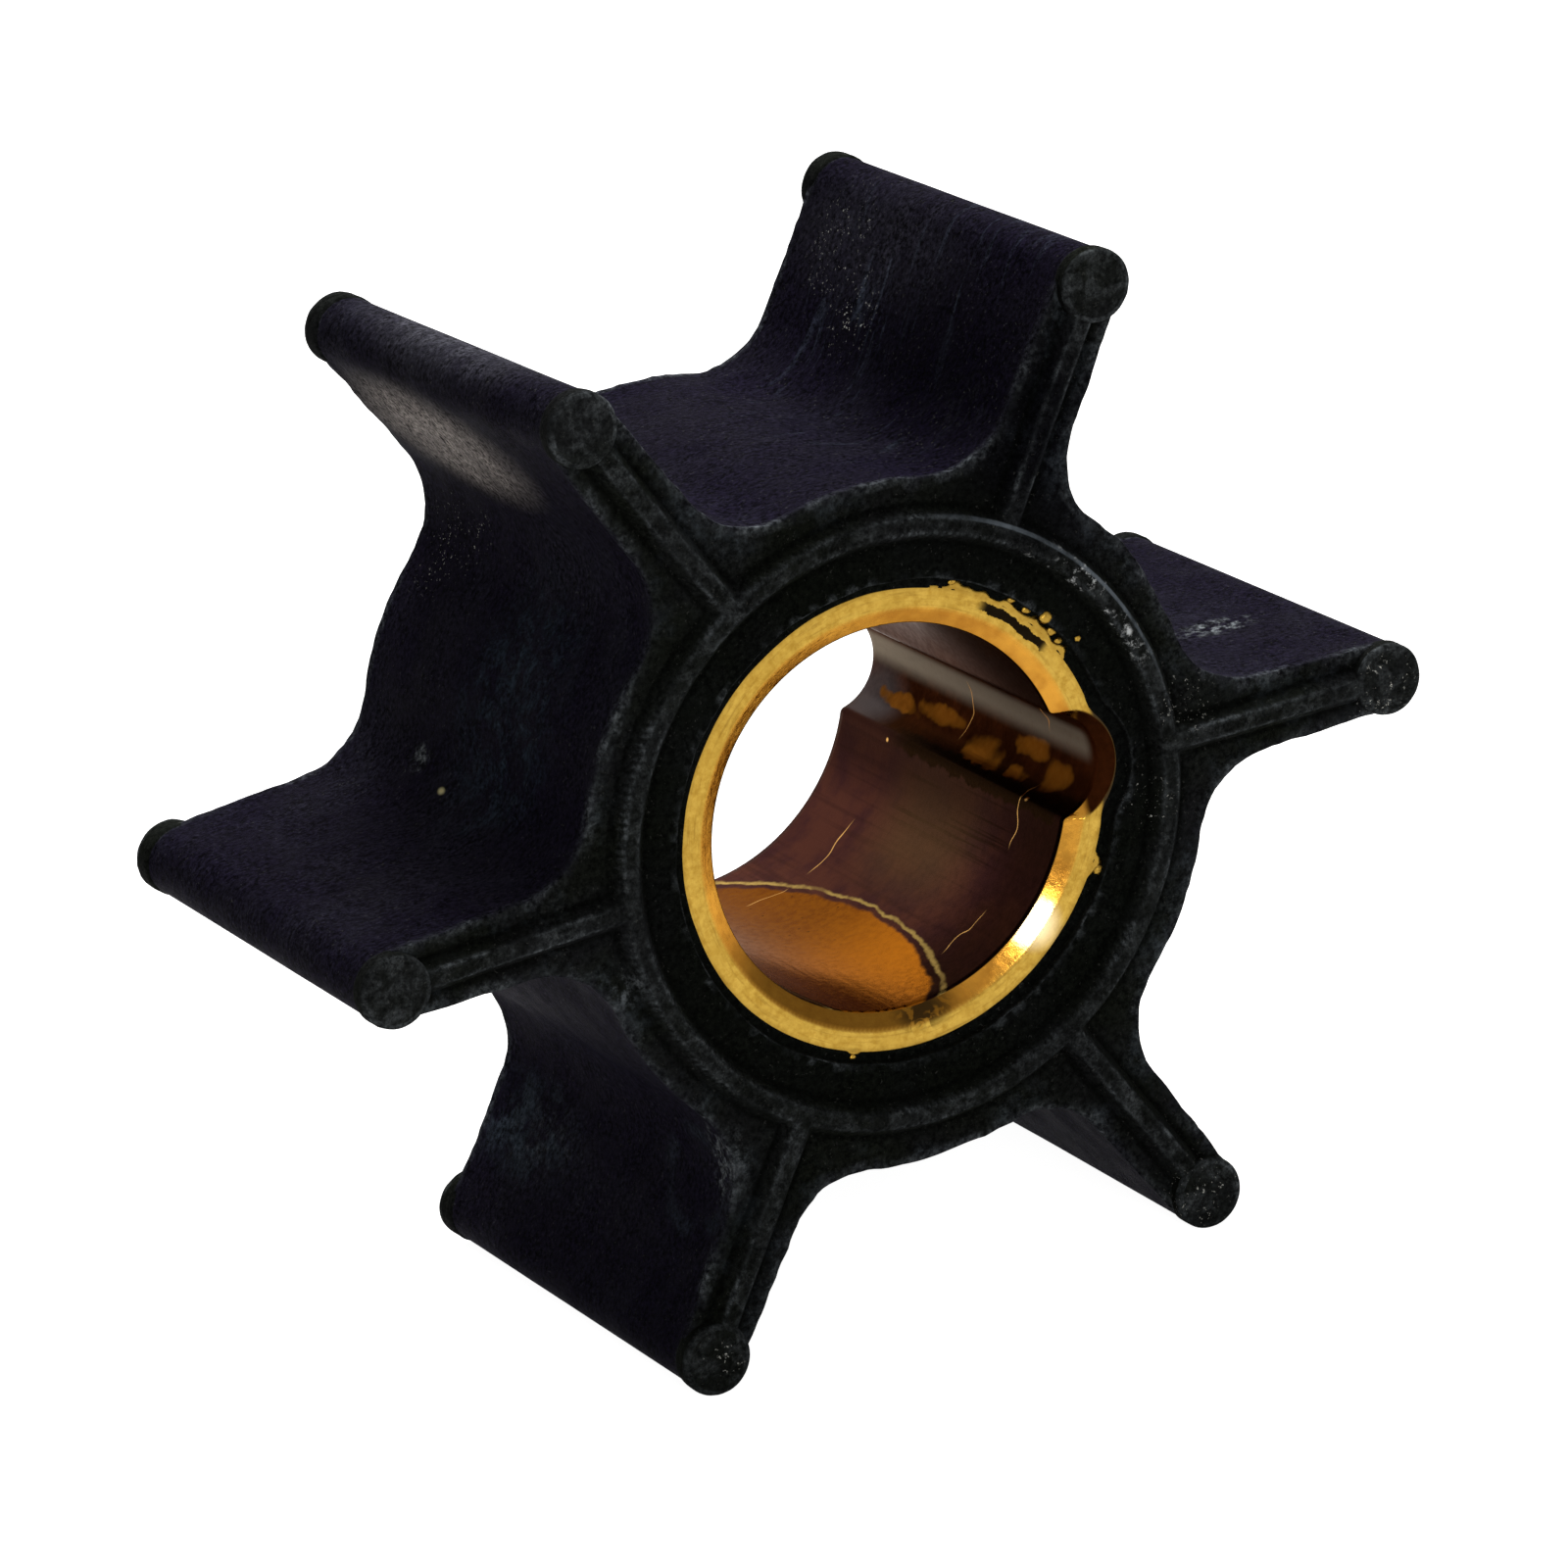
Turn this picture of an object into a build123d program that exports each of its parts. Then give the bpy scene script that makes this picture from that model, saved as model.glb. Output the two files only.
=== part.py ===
"""Flexible pump impeller: a rubber moulding with six blades, bonded round a keyed brass sleeve.

The shaft axis is Y and the origin is the middle of the bore. Blades stand about every 60 degrees
from +X, each leaning a little, so the part rests on two blade tips with +Z up. Both ends are alike.
All sizes are in millimetres, and angles are in degrees.
"""
from build123d import *
from math import atan, degrees
import os

# Brass sleeve and its half-round keyway, which points to +X
bore_diameter = 17.5
sleeve_wall = 1.7
sleeve_recess = 0.45
keyway_radius = 2.5
keyway_sink = 0.8
keyway_wall = 0.8
keyway_lip_round = 0.25
keyway_outer_round = 1.0
mouth_depth = 0.45
bore_mouth_width = 0.8
keyway_mouth_width = 0.12
keyway_mouth_lean = 0.53

# Hub, as the rubber round the sleeve, and the clearance of its end seats
hub_wall = 4.85
hub_width = 22.5
seat_margin = 0.4

# Blades, with fully rounded tips and a bead cap at each end of the tip. The lean is the angle
# by which a blade has bent at its root, one for each blade
blade_count = 6
blade_leans = (-1.3, -0.2, 1.9, 1.6, -1.6, 1.6)
blade_tip_radius = 24.75
blade_tip_thickness = 3.1
blade_root_thickness = 3.7
blade_root_fillet = 4.05
bead_cap_overhang = 0.11
bead_cap_depth = 0.45
bead_cap_rise = 0.65
bead_cap_edge = 0.12

# Raised ribs on the end faces: one ring on the hub and one bar along each blade
rib_height = 0.55
rib_top_width = 0.75
rib_base_width = 1.5
ring_rib_inset = 1.95

# Worked out from the sizes above
bore_radius = bore_diameter / 2
sleeve_radius = bore_radius + sleeve_wall
sleeve_length = hub_width - 2 * sleeve_recess
keyway_centre = bore_radius - keyway_sink
hub_radius = sleeve_radius + hub_wall
half_width = hub_width / 2
ring_rib_radius = hub_radius - ring_rib_inset
bead_cap_radius = blade_tip_thickness / 2 + bead_cap_overhang
rib_taper = degrees(atan((rib_base_width - rib_top_width) / 2 / rib_height))
end_face = Plane.XZ.offset(half_width)
sleeve_face = Plane.XZ.offset(sleeve_length / 2)
throat_plane = sleeve_face.offset(-mouth_depth)
touching = 1e-4

def at_radius(radius):
    """Return a test that keeps the vertices which lie at this distance from the shaft axis."""
    return lambda vertex: abs(vertex.center().length - radius) < touching

def blade_place(index):
    """Return the place of one blade: turned round the shaft axis and leaned about its root."""
    lean = blade_leans[index % len(blade_leans)]
    return Rot(Z=index * 360 / blade_count) * Pos(X=hub_radius) * Rot(Z=lean) * Pos(X=-hub_radius)

blade_places = [blade_place(index) for index in range(blade_count)]

# Outline of the bore with its keyway
with BuildSketch() as keyed_bore:
    Circle(bore_radius)
    with Locations((keyway_centre, 0)):
        Circle(keyway_radius)
    fillet(keyed_bore.vertices().filter_by(at_radius(bore_radius)), keyway_lip_round)

def sleeve_shape(margin):
    """Return the sleeve's outside outline, grown by margin: a circle that bulges round the keyway."""
    with BuildSketch() as shape:
        Circle(sleeve_radius + margin)
        with Locations((keyway_centre, 0)):
            Circle(keyway_radius + keyway_wall + margin)
        fillet(shape.vertices().filter_by(at_radius(sleeve_radius + margin)), keyway_outer_round)
    return shape.sketch

# Outline of one blade along +X: two circles and their common tangents
with BuildSketch() as blade_outline:
    with Locations((hub_radius - blade_root_thickness / 2, 0)):
        Circle(blade_root_thickness / 2)
    with Locations((blade_tip_radius, 0)):
        Circle(blade_tip_thickness / 2)
    make_hull()

# Brass sleeve, near half first: the bore ends in a shallow cone, and the keyway in one that leans outwards
with BuildPart() as brass_sleeve:
    with BuildSketch(Plane.XZ):
        add(sleeve_shape(0))
    extrude(amount=sleeve_length / 2)
    with BuildSketch(Plane.XZ):
        add(keyed_bore.sketch)
    extrude(amount=sleeve_length / 2, mode=Mode.SUBTRACT)
    with BuildSketch(throat_plane):
        Circle(bore_radius)
    extrude(amount=mouth_depth, taper=-degrees(atan(bore_mouth_width / mouth_depth)), mode=Mode.SUBTRACT)
    with BuildSketch(throat_plane):
        with Locations((keyway_centre, 0)):
            Circle(keyway_radius)
    with BuildSketch(sleeve_face):
        with Locations((keyway_centre + keyway_mouth_lean, 0)):
            Circle(keyway_radius + keyway_mouth_width)
    loft(ruled=True, mode=Mode.SUBTRACT)
    mirror(about=Plane.XZ)
brass_sleeve.part.label = "brass_sleeve"

# Rubber moulding, near half first
with BuildPart() as rubber_moulding:
    with BuildSketch(Plane.XZ) as star:
        Circle(hub_radius)
        with Locations(*blade_places):
            add(blade_outline.sketch)
        fillet(star.vertices().filter_by(at_radius(hub_radius)), blade_root_fillet)
    extrude(amount=half_width)
    with BuildSketch(end_face):
        Circle(ring_rib_radius + rib_base_width / 2)
        Circle(ring_rib_radius - rib_base_width / 2, mode=Mode.SUBTRACT)
    extrude(amount=rib_height, taper=rib_taper)
    with BuildSketch(end_face):
        with Locations(*blade_places):
            with Locations(((ring_rib_radius + blade_tip_radius) / 2, 0)):
                Rectangle(blade_tip_radius - ring_rib_radius, rib_base_width)
    extrude(amount=rib_height, taper=rib_taper)
    with BuildSketch(end_face.offset(-bead_cap_depth)):
        with Locations(*blade_places):
            with Locations((blade_tip_radius, 0)):
                Circle(bead_cap_radius)
    extrude(amount=bead_cap_depth + bead_cap_rise - bead_cap_edge)
    with BuildSketch(end_face.offset(bead_cap_rise - bead_cap_edge)):
        with Locations(*blade_places):
            with Locations((blade_tip_radius, 0)):
                Circle(bead_cap_radius)
    extrude(amount=bead_cap_edge, taper=45)
    with BuildSketch(end_face):
        add(sleeve_shape(seat_margin))
    extrude(amount=-sleeve_recess, mode=Mode.SUBTRACT)
    with BuildSketch(Plane.XZ):
        add(sleeve_shape(0))
    extrude(amount=half_width, mode=Mode.SUBTRACT)
    mirror(about=Plane.XZ)
rubber_moulding.part.label = "rubber_moulding"

os.makedirs("parts", exist_ok=True)
export_step(brass_sleeve.part, "parts/brass_sleeve.step")
export_step(rubber_moulding.part, "parts/rubber_moulding.step")
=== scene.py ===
"""Looks of a flexible pump impeller: a six-bladed rubber moulding bonded round a keyed brass sleeve.

The row frame is metres, with the shaft along Y, the keyway towards +X and +Z up. The shapes below
are worked out in millimetres and scaled once, when a mesh is made. The near end is the one at -Y.
"""

from math import asin, atan2, ceil, cos, pi, radians, sin, sqrt

import bmesh
import bpy
import numpy as np
from mathutils import Matrix, Vector
from mathutils.geometry import delaunay_2d_cdt

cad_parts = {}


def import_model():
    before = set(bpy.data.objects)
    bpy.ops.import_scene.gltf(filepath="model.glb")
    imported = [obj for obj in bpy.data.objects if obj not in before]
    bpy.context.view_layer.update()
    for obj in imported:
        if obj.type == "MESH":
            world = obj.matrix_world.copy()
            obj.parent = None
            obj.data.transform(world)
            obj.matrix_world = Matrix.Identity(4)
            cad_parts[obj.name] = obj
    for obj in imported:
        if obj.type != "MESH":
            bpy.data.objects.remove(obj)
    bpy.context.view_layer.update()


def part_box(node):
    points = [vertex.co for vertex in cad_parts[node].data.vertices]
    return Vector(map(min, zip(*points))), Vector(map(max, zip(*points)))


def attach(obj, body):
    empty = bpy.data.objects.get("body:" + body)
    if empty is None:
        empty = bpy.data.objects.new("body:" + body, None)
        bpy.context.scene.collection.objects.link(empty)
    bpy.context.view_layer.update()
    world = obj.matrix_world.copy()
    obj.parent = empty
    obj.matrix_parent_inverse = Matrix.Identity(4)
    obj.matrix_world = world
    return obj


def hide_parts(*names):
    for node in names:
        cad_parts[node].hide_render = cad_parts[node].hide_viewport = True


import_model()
scene = bpy.context.scene
scene.view_settings.view_transform = "Standard"

MM = 0.001
WELD = 2e-6             # metres within which points of one piece are joined

# ---- sizes, in mm and degrees
ENDS = ((-1, 11), (1, 12))  # which way each end faces along the shaft, and the seed of its random fields
HALF = 11.25            # half of the hub's width
SEAT = 0.45             # the brass lies this far behind the end face
BORE = 8.75             # bore radius
SLEEVE = 10.45          # sleeve radius
KEY_X, KEY_R = 7.95, 2.5   # the keyway's middle and radius
KEY_WALL = 0.8          # brass round the keyway
LIP, BULGE = 0.25, 1.0  # roundings where keyway and bore meet, inside and outside
MOUTH_DEPTH, BORE_MOUTH = 0.45, 0.8  # depth of both mouths, and how much wider the bore's one gets
RIM_X, RIM_R = 8.48, 2.62  # the keyway's rim at the brass face
SEAT_GAP = 0.4          # rubber floor between the sleeve and the seat's wall
BOND = 0.38             # how far inside the seat's wall the hidden joint runs
BLADES = 6
HUB = 15.3              # hub radius
TIP_AT = 24.75          # how far out the beads' middles lie
TIP_R, ROOT_R, ROOT_FILLET = 1.55, 1.85, 4.05  # half thickness of a blade at tip and root, and its root's fillet
LEANS = (-1.3, -0.2, 1.9, 1.6, -1.6, 1.6)  # degrees that each blade leans off its even place
# How far each blade's tip has set sideways at the near and the far end
TWISTS = ((0.04, -0.02), (-0.1, 0.08), (-0.2, 0.14), (0.03, 0.17), (0.03, -0.38), (-0.06, -0.05))
# Where the near edge of the hub bulges: angle, width and amount
SWELLS = ((270, 20, 0.22), (256, 8, 0.26), (284, 8, 0.10), (327, 20, 0.10), (38, 10, 0.42), (90, 25, 0.05))
CAP_R, CAP_RIM, CAP_SIDES = 1.66, 0.24, 56  # bead caps: radius, rounding of the rim, points round it
CAP_DEPTH, CAP_RISE = 0.45, 0.65  # how deep a cap sits in the blade, and how far it stands out
FAR_RISE = (0, 0.14, 0.22, 0.25, 0.28, 0)  # how much further each cap stands out at the far end
RING = 13.35            # middle of the ring rib
RIB_HIGH, RIB_TOP, RIB_BASE = 0.55, 0.375, 0.75  # height of the ribs, and half widths at top and base
RIB_ROWS = np.array([0.0, 0.16, 0.27, 0.34, 0.4, 0.48, 0.58, 0.66, 0.73, 0.8, 0.9, 1.02])  # points across a rib
EDGE, SEAT_EDGE = 0.1, 0.1  # rounding of the moulding's outer edges and of the seat's brink
# Ragged brass past the near face's edge: angle, width and reach
BURRS = ((31, 2.0, 0.38), (37, 2.2, 0.32), (43, 3.0, 0.52), (50, 2.4, 0.50), (57, 3.0, 0.22),
         (66, 4.5, 0.40), (-27, 1.8, 0.55), (-110, 1.3, 0.25))
# Brass crumbs left by the trimming, on the rubber beside the near face: angle, radius and size
CRUMBS = ((31, 11.35, 0.13), (41, 10.98, 0.27), (45, 10.85, 0.22), (50, 10.85, 0.17), (67, 10.75, 0.15),
          (36, 10.85, 0.22), (33, 10.75, 0.17), (-28, 10.85, 0.24), (-110, 10.65, 0.12), (148, 12.83, 0.13))


# ---- random fields and outlines
def field(p, cell, seed):
    """Smooth random values from -1 to 1 at points p: cells of one size, blended by a cubic."""
    table = np.random.default_rng(seed).random((32, 32, 32)) * 2 - 1
    q = np.asarray(p, float) / cell
    low = np.floor(q).astype(int)
    t = q - low
    t = t * t * (3 - 2 * t)
    total = 0
    for corner in np.ndindex(2, 2, 2):
        a, b, c = np.moveaxis((low + corner) % 32, -1, 0)
        share_x, share_y, share_z = np.moveaxis(np.where(corner, t, 1 - t), -1, 0)
        total = total + table[a, b, c] * share_x * share_y * share_z
    return total


def bump(distance, width):
    """A bell-shaped weight: 1 at distance 0, falling to a third at one width."""
    return np.exp(-((distance / width) ** 2))


def apart(angle, at):
    """Degrees from one direction to another, between -180 and 180."""
    return (angle - at + 180) % 360 - 180


def along(angle, radius=1.0):
    return np.array([cos(angle), sin(angle)]) * radius


def trace(arcs, step):
    """Closed outline through arcs of (centre, signed radius, first and last normal angle).

    A negative radius is a hollow arc. Straight runs join the arcs, divided to the same step.
    Returns the points and their outward normals.
    """
    points, normals = [], []
    for centre, radius, first, last in arcs:
        count = max(2, ceil(abs(radius * (last - first)) / step) + 1)
        for angle in np.linspace(first, last, count):
            points.append(np.asarray(centre) + radius * along(angle))
            normals.append(along(angle))
    out_p, out_n = [], []
    for i, point in enumerate(points):
        after = points[(i + 1) % len(points)]
        gap = np.linalg.norm(after - point)
        if gap < 1e-6:
            continue
        parts = max(1, ceil(gap / step - 0.2))
        for k in range(parts):
            out_p.append(point + (after - point) * k / parts)
            blend = normals[i] * (1 - k / parts) + normals[(i + 1) % len(points)] * k / parts
            out_n.append(blend / np.linalg.norm(blend))
    return np.array(out_p), np.array(out_n)


def keyed(big, small, rounding, step):
    """Circle round the shaft joined by the keyway's circle, with rounded inner corners."""
    x = ((big + rounding) ** 2 - (small + rounding) ** 2 + KEY_X ** 2) / (2 * KEY_X)
    z = sqrt((big + rounding) ** 2 - x * x)
    wide, tight = atan2(z, x), atan2(z, x - KEY_X)
    return trace([((KEY_X, 0), small, -tight, tight), ((x, z), -rounding, tight, wide),
                  ((0, 0), big, wide, 2 * pi - wide),
                  ((x, -z), -rounding, 2 * pi - wide, 2 * pi - tight)], step)


def blade_frame(index):
    """Pivot on the hub's surface and the direction in which one blade points."""
    even = index * 2 * pi / BLADES
    return along(even, HUB), even + radians(LEANS[index])


def star(step):
    """Outline of hub and blades: for each blade a root fillet, a flank, the tip, and back."""
    narrowing = asin((ROOT_R - TIP_R) / (TIP_AT - HUB + ROOT_R))
    arcs = []
    for index in range(BLADES):
        pivot, way = blade_frame(index)
        tip = pivot + along(way, TIP_AT - HUB)
        found = []
        for side in (-1, 1):
            face = way + side * (pi / 2 - narrowing)
            reach = along(face) @ tip + TIP_R + ROOT_FILLET
            out = sqrt((HUB + ROOT_FILLET) ** 2 - reach ** 2)
            centre = along(face, reach) + along(face - side * pi / 2, out)
            found.append((face, centre, atan2(centre[1], centre[0])))
        (low, low_c, low_a), (high, high_c, high_a) = found
        low_a += 2 * pi * round((low - pi / 4 - low_a) / (2 * pi))
        low_a = low_a if low_a > low else low_a + 2 * pi
        high_a = high_a if high_a > 0 else high_a + 2 * pi
        arcs.append((low_c, -ROOT_FILLET, low_a, low))
        arcs.append((tip, TIP_R, low, high))
        arcs.append((high_c, -ROOT_FILLET, high, high_a))
        arcs.append(((0, 0), HUB, high_a, None))
    # Each stretch of hub ends where the next blade's fillet starts
    for k in range(3, len(arcs), 4):
        after = arcs[(k + 1) % len(arcs)][2] + (2 * pi if k == len(arcs) - 1 else 0)
        arcs[k] = (arcs[k][0], arcs[k][1], arcs[k][2], after)
    return trace(arcs, step)


# ---- mesh making
def linked(name, data):
    made = bpy.data.objects.new(name, data)
    scene.collection.objects.link(made)
    return made


class Shell:
    """Collects grids and flat patches of one piece, with named values, and makes them one mesh."""

    def __init__(self, *names):
        self.names, self.parts, self.faces, self.count = names, [], [], 0

    def add(self, points, faces, **values):
        size = len(points)
        held = [np.broadcast_to(np.asarray(values.get(n, 0.0), float), (size,)) for n in self.names]
        self.parts.append((np.asarray(points, float), held))
        self.faces += (np.asarray(faces) + self.count).tolist()
        self.count += size

    def grid(self, points, flip=False, **values):
        """Quads through points of (round a closed outline, across, 3)."""
        n, m = points.shape[:2]
        i, j = np.arange(n)[:, None], np.arange(m - 1)
        a, b = i * m + j, (i + 1) % n * m + j
        quads = np.stack([a, b, b + 1, a + 1], -1).reshape(-1, 4)
        held = {k: np.broadcast_to(v, (n, m)).reshape(-1) for k, v in values.items()}
        self.add(points.reshape(-1, 3), quads[:, ::-1] if flip else quads, **held)

    def build(self, name, material):
        mesh = bpy.data.meshes.new(name)
        points = np.vstack([p for p, _ in self.parts]) * MM
        mesh.from_pydata(points.tolist(), [], self.faces)
        for k, value in enumerate(self.names):
            held = np.concatenate([v[k] for _, v in self.parts])
            mesh.attributes.new(value, "FLOAT", "POINT").data.foreach_set("value", held)
        work = bmesh.new()
        work.from_mesh(mesh)
        bmesh.ops.remove_doubles(work, verts=work.verts, dist=WELD)
        work.to_mesh(mesh)
        work.free()
        mesh.polygons.foreach_set("use_smooth", np.ones(len(mesh.polygons), bool))
        mesh.materials.append(material)
        return linked(name, mesh)


def lifted(flat, y):
    """Flat points (x, z) placed along the shaft at y: one number, or one for each point."""
    return np.c_[flat[:, 0], np.broadcast_to(y, len(flat)), flat[:, 1]]


def stacked(rows):
    """Grid through rows of (flat outline, y)."""
    return np.stack([lifted(flat, y) for flat, y in rows], 1)


def inside(points, loop):
    """Whether each point lies inside a closed outline, by counting edges crossed to its right."""
    ax, az = loop[:, 0], loop[:, 1]
    bx, bz = np.roll(ax, -1), np.roll(az, -1)
    hits = np.zeros(len(points), bool)
    for k in range(len(loop)):
        cross = (az[k] > points[:, 1]) != (bz[k] > points[:, 1])
        span = bz[k] - az[k] if bz[k] != az[k] else 1e-12
        hits ^= cross & (points[:, 0] < (bx[k] - ax[k]) * (points[:, 1] - az[k]) / span + ax[k])
    return hits


def clearance(points, loop):
    """Distance of each point from the nearest point of an outline."""
    best = np.full(len(points), 1e9)
    for corner in loop:
        best = np.minimum(best, np.hypot(points[:, 0] - corner[0], points[:, 1] - corner[1]))
    return best


def patch(outer, inner, extra, margin=0.12):
    """Triangles of the flat region between two outlines, through the extra points given."""
    keep = inside(extra, outer) & ~inside(extra, inner)
    extra = extra[keep]
    extra = extra[(clearance(extra, outer) > margin) & (clearance(extra, inner) > margin)]
    points = np.vstack([outer, inner, extra])
    n, m = len(outer), len(inner)
    edges = [(i, (i + 1) % n) for i in range(n)] + [(n + i, n + (i + 1) % m) for i in range(m)]
    made = delaunay_2d_cdt([Vector(p) for p in points], edges, [], 0, 1e-5)
    flat = np.array([(v[0], v[1]) for v in made[0]])
    faces = np.array([f for f in made[2] if len(f) == 3])
    middle = flat[faces].mean(1)
    faces = faces[inside(middle, outer) & ~inside(middle, inner)]
    a, b, c = flat[faces[:, 0]], flat[faces[:, 1]], flat[faces[:, 2]]
    turn = (b[:, 0] - a[:, 0]) * (c[:, 1] - a[:, 1]) - (b[:, 1] - a[:, 1]) * (c[:, 0] - a[:, 0])
    faces = np.where((turn < 0)[:, None], faces[:, ::-1], faces)[np.abs(turn) > 1e-9]
    return flat, faces


def ring_points(centre, radii, step):
    """Points about a step apart on circles round a centre."""
    rows = []
    for radius in radii:
        count = max(8, int(2 * pi * radius / step))
        turn = np.linspace(0, 2 * pi, count, endpoint=False)
        rows.append(np.c_[centre[0] + radius * np.cos(turn), centre[1] + radius * np.sin(turn)])
    return np.vstack(rows)


def honeycomb(reach, step):
    """Points of a triangular lattice that fills a square out to a reach."""
    rows = []
    for k, z in enumerate(np.arange(-reach, reach, step * 0.866)):
        x = np.arange(-reach, reach, step) + (step / 2 if k % 2 else 0)
        rows.append(np.c_[x, np.full(len(x), z)])
    return np.vstack(rows)


# ---- the moulding's end faces
def soft_step(s, k=0.13):
    """0 below 0 and 1 above 1, with both corners rounded."""
    return (np.sqrt(s * s + k * k) - np.sqrt((s - 1) ** 2 + k * k) + 1) / 2


def merge(a, b, k=0.05):
    """The larger of two heights, with a small hollow fillet where they meet."""
    return (a + b + np.sqrt((a - b) ** 2 + k * k)) / 2


def rib_distance(flat):
    """Distance of each point from the nearest rib's middle line: the ring, and each blade's bar."""
    radius = np.hypot(flat[:, 0], flat[:, 1])
    ring = np.abs(radius - RING)
    bar = np.full(len(flat), 99.0)
    for index in range(BLADES):
        pivot, way = blade_frame(index)
        u = (flat - pivot) @ along(way)
        v = (flat - pivot) @ along(way + pi / 2)
        short = np.maximum(0, RING - HUB - u)
        bar = np.minimum(bar, np.hypot(v, short))
    return ring, bar


def end_relief(flat, seed):
    """Height of an end face above its plane, and where its rib tops, rib edges and feet are; the feet get painted
    shade.
    """
    ring, bar = rib_distance(flat)
    lumps = np.c_[flat, np.full(len(flat), seed * 7.0)]
    lean = 0.03 * field(lumps, 1.1, seed)
    near = np.minimum(ring, bar)
    profile = [soft_step((RIB_BASE - d - lean) / (RIB_BASE - RIB_TOP)) for d in (ring, bar)]
    height = merge(profile[0], profile[1]) * RIB_HIGH
    height = height - 0.09 * bump(near - RIB_BASE - 0.08, 0.09)
    height = height + 0.022 * field(lumps, 2.6, seed + 1) + 0.01 * field(lumps, 0.7, seed + 2)
    crest = np.clip((RIB_TOP + 0.06 - near) / 0.1, 0, 1)
    edge = bump(near - RIB_TOP + 0.02, 0.075)
    foot = bump(near - RIB_BASE - 0.08, 0.13)
    return height, crest, edge, foot


def twisted(points):
    """Turns each blade a little along the shaft, as it has set. points is (..., 3)."""
    reach = np.hypot(points[..., 0], points[..., 2])
    turn = np.degrees(np.arctan2(points[..., 2], points[..., 0]))
    far = (points[..., 1] + HALF) / (2 * HALF)
    moved = points.copy()
    for index, (near_end, far_end) in enumerate(TWISTS):
        own = np.abs(apart(turn, index * 360 / BLADES)) < 29
        share = np.clip((reach - HUB - 1.5) / (TIP_AT - HUB - 1.5), 0, 1.2) ** 1.3 * own
        way = blade_frame(index)[1] + pi / 2
        moved[..., 0] += cos(way) * share * (near_end + (far_end - near_end) * far)
        moved[..., 2] += sin(way) * share * (near_end + (far_end - near_end) * far)
    return moved


def side_rows():
    """Inset, place along the shaft and roundness of each row of the side, from the near edge to the far one."""
    turns = np.linspace(0, pi / 2, 6)[:-1]
    near_edge = [(EDGE * (1 - sin(a)), -HALF + EDGE * (1 - cos(a)), cos(a) ** 0.5) for a in turns]
    flank = [(0.0, y, 0.0) for y in np.linspace(-HALF + EDGE, HALF - EDGE, 48)]
    far_edge = [(inset, -y, rounding) for inset, y, rounding in near_edge[::-1]]
    return np.array(near_edge + flank + far_edge).T


def side_wall(outline, normal):
    """The side of hub, blades and tips: the outline carried along the shaft and moved along its normals.

    The movement is a slow undulation, the swells of the near edge and an uneven flash line on both edges.
    """
    inset, depth, rounding = side_rows()
    flat = outline[:, None, :] - normal[:, None, :] * inset[None, :, None]
    wall = np.stack([flat[..., 0], np.broadcast_to(depth, flat.shape[:2]), flat[..., 1]], -1)
    at_tip = np.clip((np.hypot(outline[:, 0], outline[:, 1]) - TIP_AT) / 1.2, 0, 1)[:, None]
    slow = 0.035 * field(wall, 7.0, 3) + 0.006 * field(wall, 1.8, 4)
    ragged = 0.03 + 0.06 * field(wall, 0.9, 5) + 0.04 * field(wall, 0.4, 6)
    turn = np.degrees(np.arctan2(outline[:, 1], outline[:, 0]))[:, None]
    for at, wide, swell in SWELLS:
        slow = slow + swell * bump(apart(turn, at), wide) * (1 - at_tip) * np.exp(-(depth + HALF) / 4)
    from_edge = HALF - np.abs(depth)
    shift = slow + ragged * bump(from_edge - EDGE * 0.6, 0.35)
    shift = shift * (1 - at_tip) - 0.3 * np.abs(slow) * at_tip
    wall[..., 0] += normal[:, None, 0] * shift
    wall[..., 2] += normal[:, None, 1] * shift
    return wall, bump(from_edge - EDGE * 0.5, 0.22), rounding


def end_points():
    """Points for the end faces: rows along the ribs' slopes, and an even spread elsewhere."""
    extra = [ring_points((0, 0), np.unique(np.r_[RING - RIB_ROWS, RING + RIB_ROWS, 11.3, 11.8, 14.7]), 0.34)]
    u = np.arange(RING - HUB + 1.1, TIP_AT - HUB + 0.3, 0.34)
    for index in range(BLADES):
        pivot, way = blade_frame(index)
        for v in np.unique(np.r_[-RIB_ROWS, RIB_ROWS]):
            extra.append(pivot + np.outer(u, along(way)) + along(way + pi / 2, v))
    lone = honeycomb(27, 0.55)
    extra.append(lone[np.minimum(*rib_distance(lone)) > 1.15])
    return np.vstack(extra)


def end_face(shell, outer, inner, extra, sign, seed):
    """One end between outline and seat, raised by the relief, which fades out at both borders."""
    points, faces = patch(outer, inner, extra)
    height, crest, edge, foot = end_relief(points, seed)
    away = clearance(points, outer)
    height = height * np.clip(away / 0.3, 0, 1) * np.clip(clearance(points, inner) / 0.2, 0, 1)
    rim = bump(away - 0.03, 0.16) * 0.9
    shell.add(twisted(lifted(points, sign * (HALF + height))), faces if sign < 0 else faces[:, ::-1],
              end=1, edge=np.maximum(edge, rim), crest=crest, foot=foot, brink=bump(away, 0.9))


def seat_rows(floor, seat, normal, film):
    """Rows of (outline, depth): rounded brink, wall, hollow corner and floor, then the film on the brass."""
    rows = [(seat + normal * SEAT_EDGE * (1 - sin(a)), SEAT_EDGE * (1 - cos(a)))
            for a in (0.0, 0.4, 0.8, 1.2, pi / 2)]
    rows += [(seat - normal * inset, SEAT - rise) for inset, rise in ((0.0, 0.1), (0.03, 0.04), (0.1, 0.02))]
    rows.append((floor - normal * 0.25, SEAT - 0.02))
    rows += [(floor - normal * (inset + film[:, None]), SEAT - rise)
             for inset, rise in ((0.36, 0.025), (0.39, 0.012), (0.40, -0.03))]
    return rows + [(floor - normal * BOND, SEAT + 0.3)]


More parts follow.
